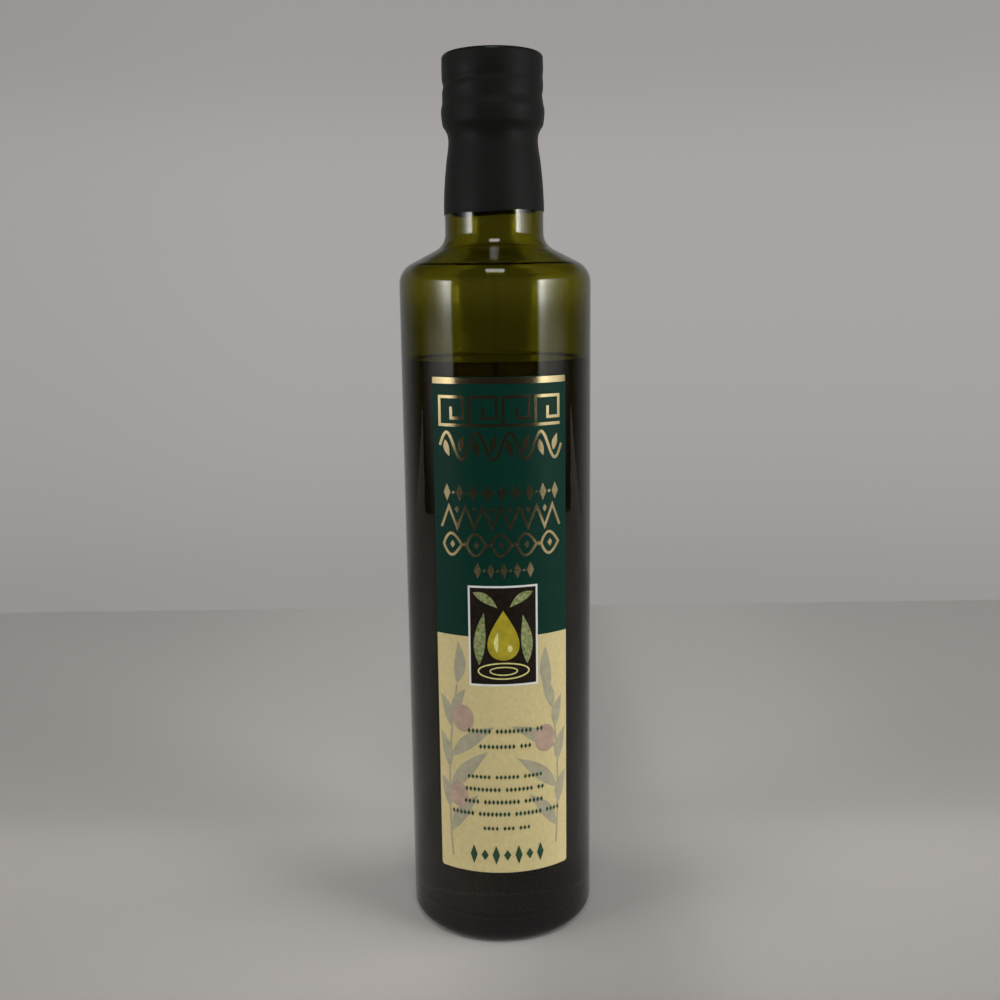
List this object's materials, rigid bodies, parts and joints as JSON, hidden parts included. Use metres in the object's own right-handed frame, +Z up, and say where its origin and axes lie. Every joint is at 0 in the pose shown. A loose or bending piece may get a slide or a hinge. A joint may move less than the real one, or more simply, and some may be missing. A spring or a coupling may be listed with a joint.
{
  "type": "olive oil bottle",
  "caption": "Slender dark green glass bottle of olive oil, with a round shoulder, a tall curved front label and a black sleeve shrunk over its shut closure.",
  "frame": {"origin": "centre of the foot, on the surface that the bottle stands on", "axes": "+Z up along the bottle's axis, the label faces -Y"},
  "size_m": [0.0624, 0.0629, 0.2884],
  "materials": {
    "green_glass": "clear gloss, dark olive green",
    "olive_oil": "clear golden green liquid",
    "black_sleeve": "satin black shrink film",
    "label_paper": "coated paper, printed dark green and cream with gold foil"
  },
  "bodies": {
    "root": {"bottle": "green_glass", "oil": "olive_oil", "capsule": "black_sleeve", "label": "label_paper"}
  },
  "joints": []
}
